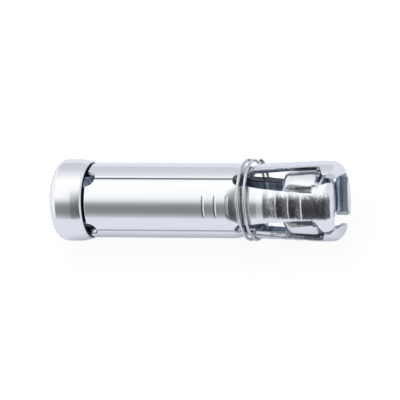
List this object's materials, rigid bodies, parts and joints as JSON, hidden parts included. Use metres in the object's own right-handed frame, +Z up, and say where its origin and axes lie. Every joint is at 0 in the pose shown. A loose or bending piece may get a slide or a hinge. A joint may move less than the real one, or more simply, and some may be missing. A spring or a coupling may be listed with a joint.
{
  "type": "expansion anchor sleeve",
  "caption": "Pressed steel shield anchor: shell segments held by a cap and a wire ring, spread by a tapered threaded nut drawn forward by a bolt.",
  "frame": {"origin": "centre of the cap's outer end face, where the bolt goes in", "axes": "+X along the axis from the cap to the feet; +Z up with the anchor lying on its cap rim and two feet"},
  "size_m": [0.0576, 0.016, 0.0163],
  "materials": {
    "zinc_cap": "bright zinc plate",
    "zinc_shell": "bright zinc plate on pressed sheet",
    "spring_wire": "drawn spring wire, zinc plated",
    "zinc_nut": "bright zinc plate with a blue tint"
  },
  "bodies": {
    "cap": {"cap": "zinc_cap", "wire_ring": "spring_wire"},
    "expander_nut": {"expander_nut": "zinc_nut"},
    "shell_segment_1": {"shell_segment_1": "zinc_shell"},
    "shell_segment_2": {"shell_segment_2": "zinc_shell"},
    "shell_segment_3": {"shell_segment_3": "zinc_shell"},
    "shell_segment_4": {"shell_segment_4": "zinc_shell"}
  },
  "joints": [
    {"name": "expander_draw", "type": "slide", "parent": "cap", "child": "expander_nut", "axis": [-1, 0, 0], "range_m": [0, 0.005]},
    {"name": "segment_1_spread", "type": "hinge", "parent": "cap", "child": "shell_segment_1", "pos_m": [0.0069, -0.00481, 0.00481], "axis": [0, -0.7071, -0.7071], "range_deg": [0, 0.36]},
    {"name": "segment_2_spread", "type": "hinge", "parent": "cap", "child": "shell_segment_2", "pos_m": [0.0069, 0.00481, 0.00481], "axis": [0, -0.7071, 0.7071], "range_deg": [0, 0.36]},
    {"name": "segment_3_spread", "type": "hinge", "parent": "cap", "child": "shell_segment_3", "pos_m": [0.0069, 0.00481, -0.00481], "axis": [0, 0.7071, 0.7071], "range_deg": [0, 0.36]},
    {"name": "segment_4_spread", "type": "hinge", "parent": "cap", "child": "shell_segment_4", "pos_m": [0.0069, -0.00481, -0.00481], "axis": [0, 0.7071, -0.7071], "range_deg": [0, 0.36]}
  ],
  "couplings": [
    {"joint": "segment_1_spread", "follows": "expander_draw", "rad_per_m": 1.25},
    {"joint": "segment_2_spread", "follows": "expander_draw", "rad_per_m": 1.25},
    {"joint": "segment_3_spread", "follows": "expander_draw", "rad_per_m": 1.25},
    {"joint": "segment_4_spread", "follows": "expander_draw", "rad_per_m": 1.25}
  ]
}
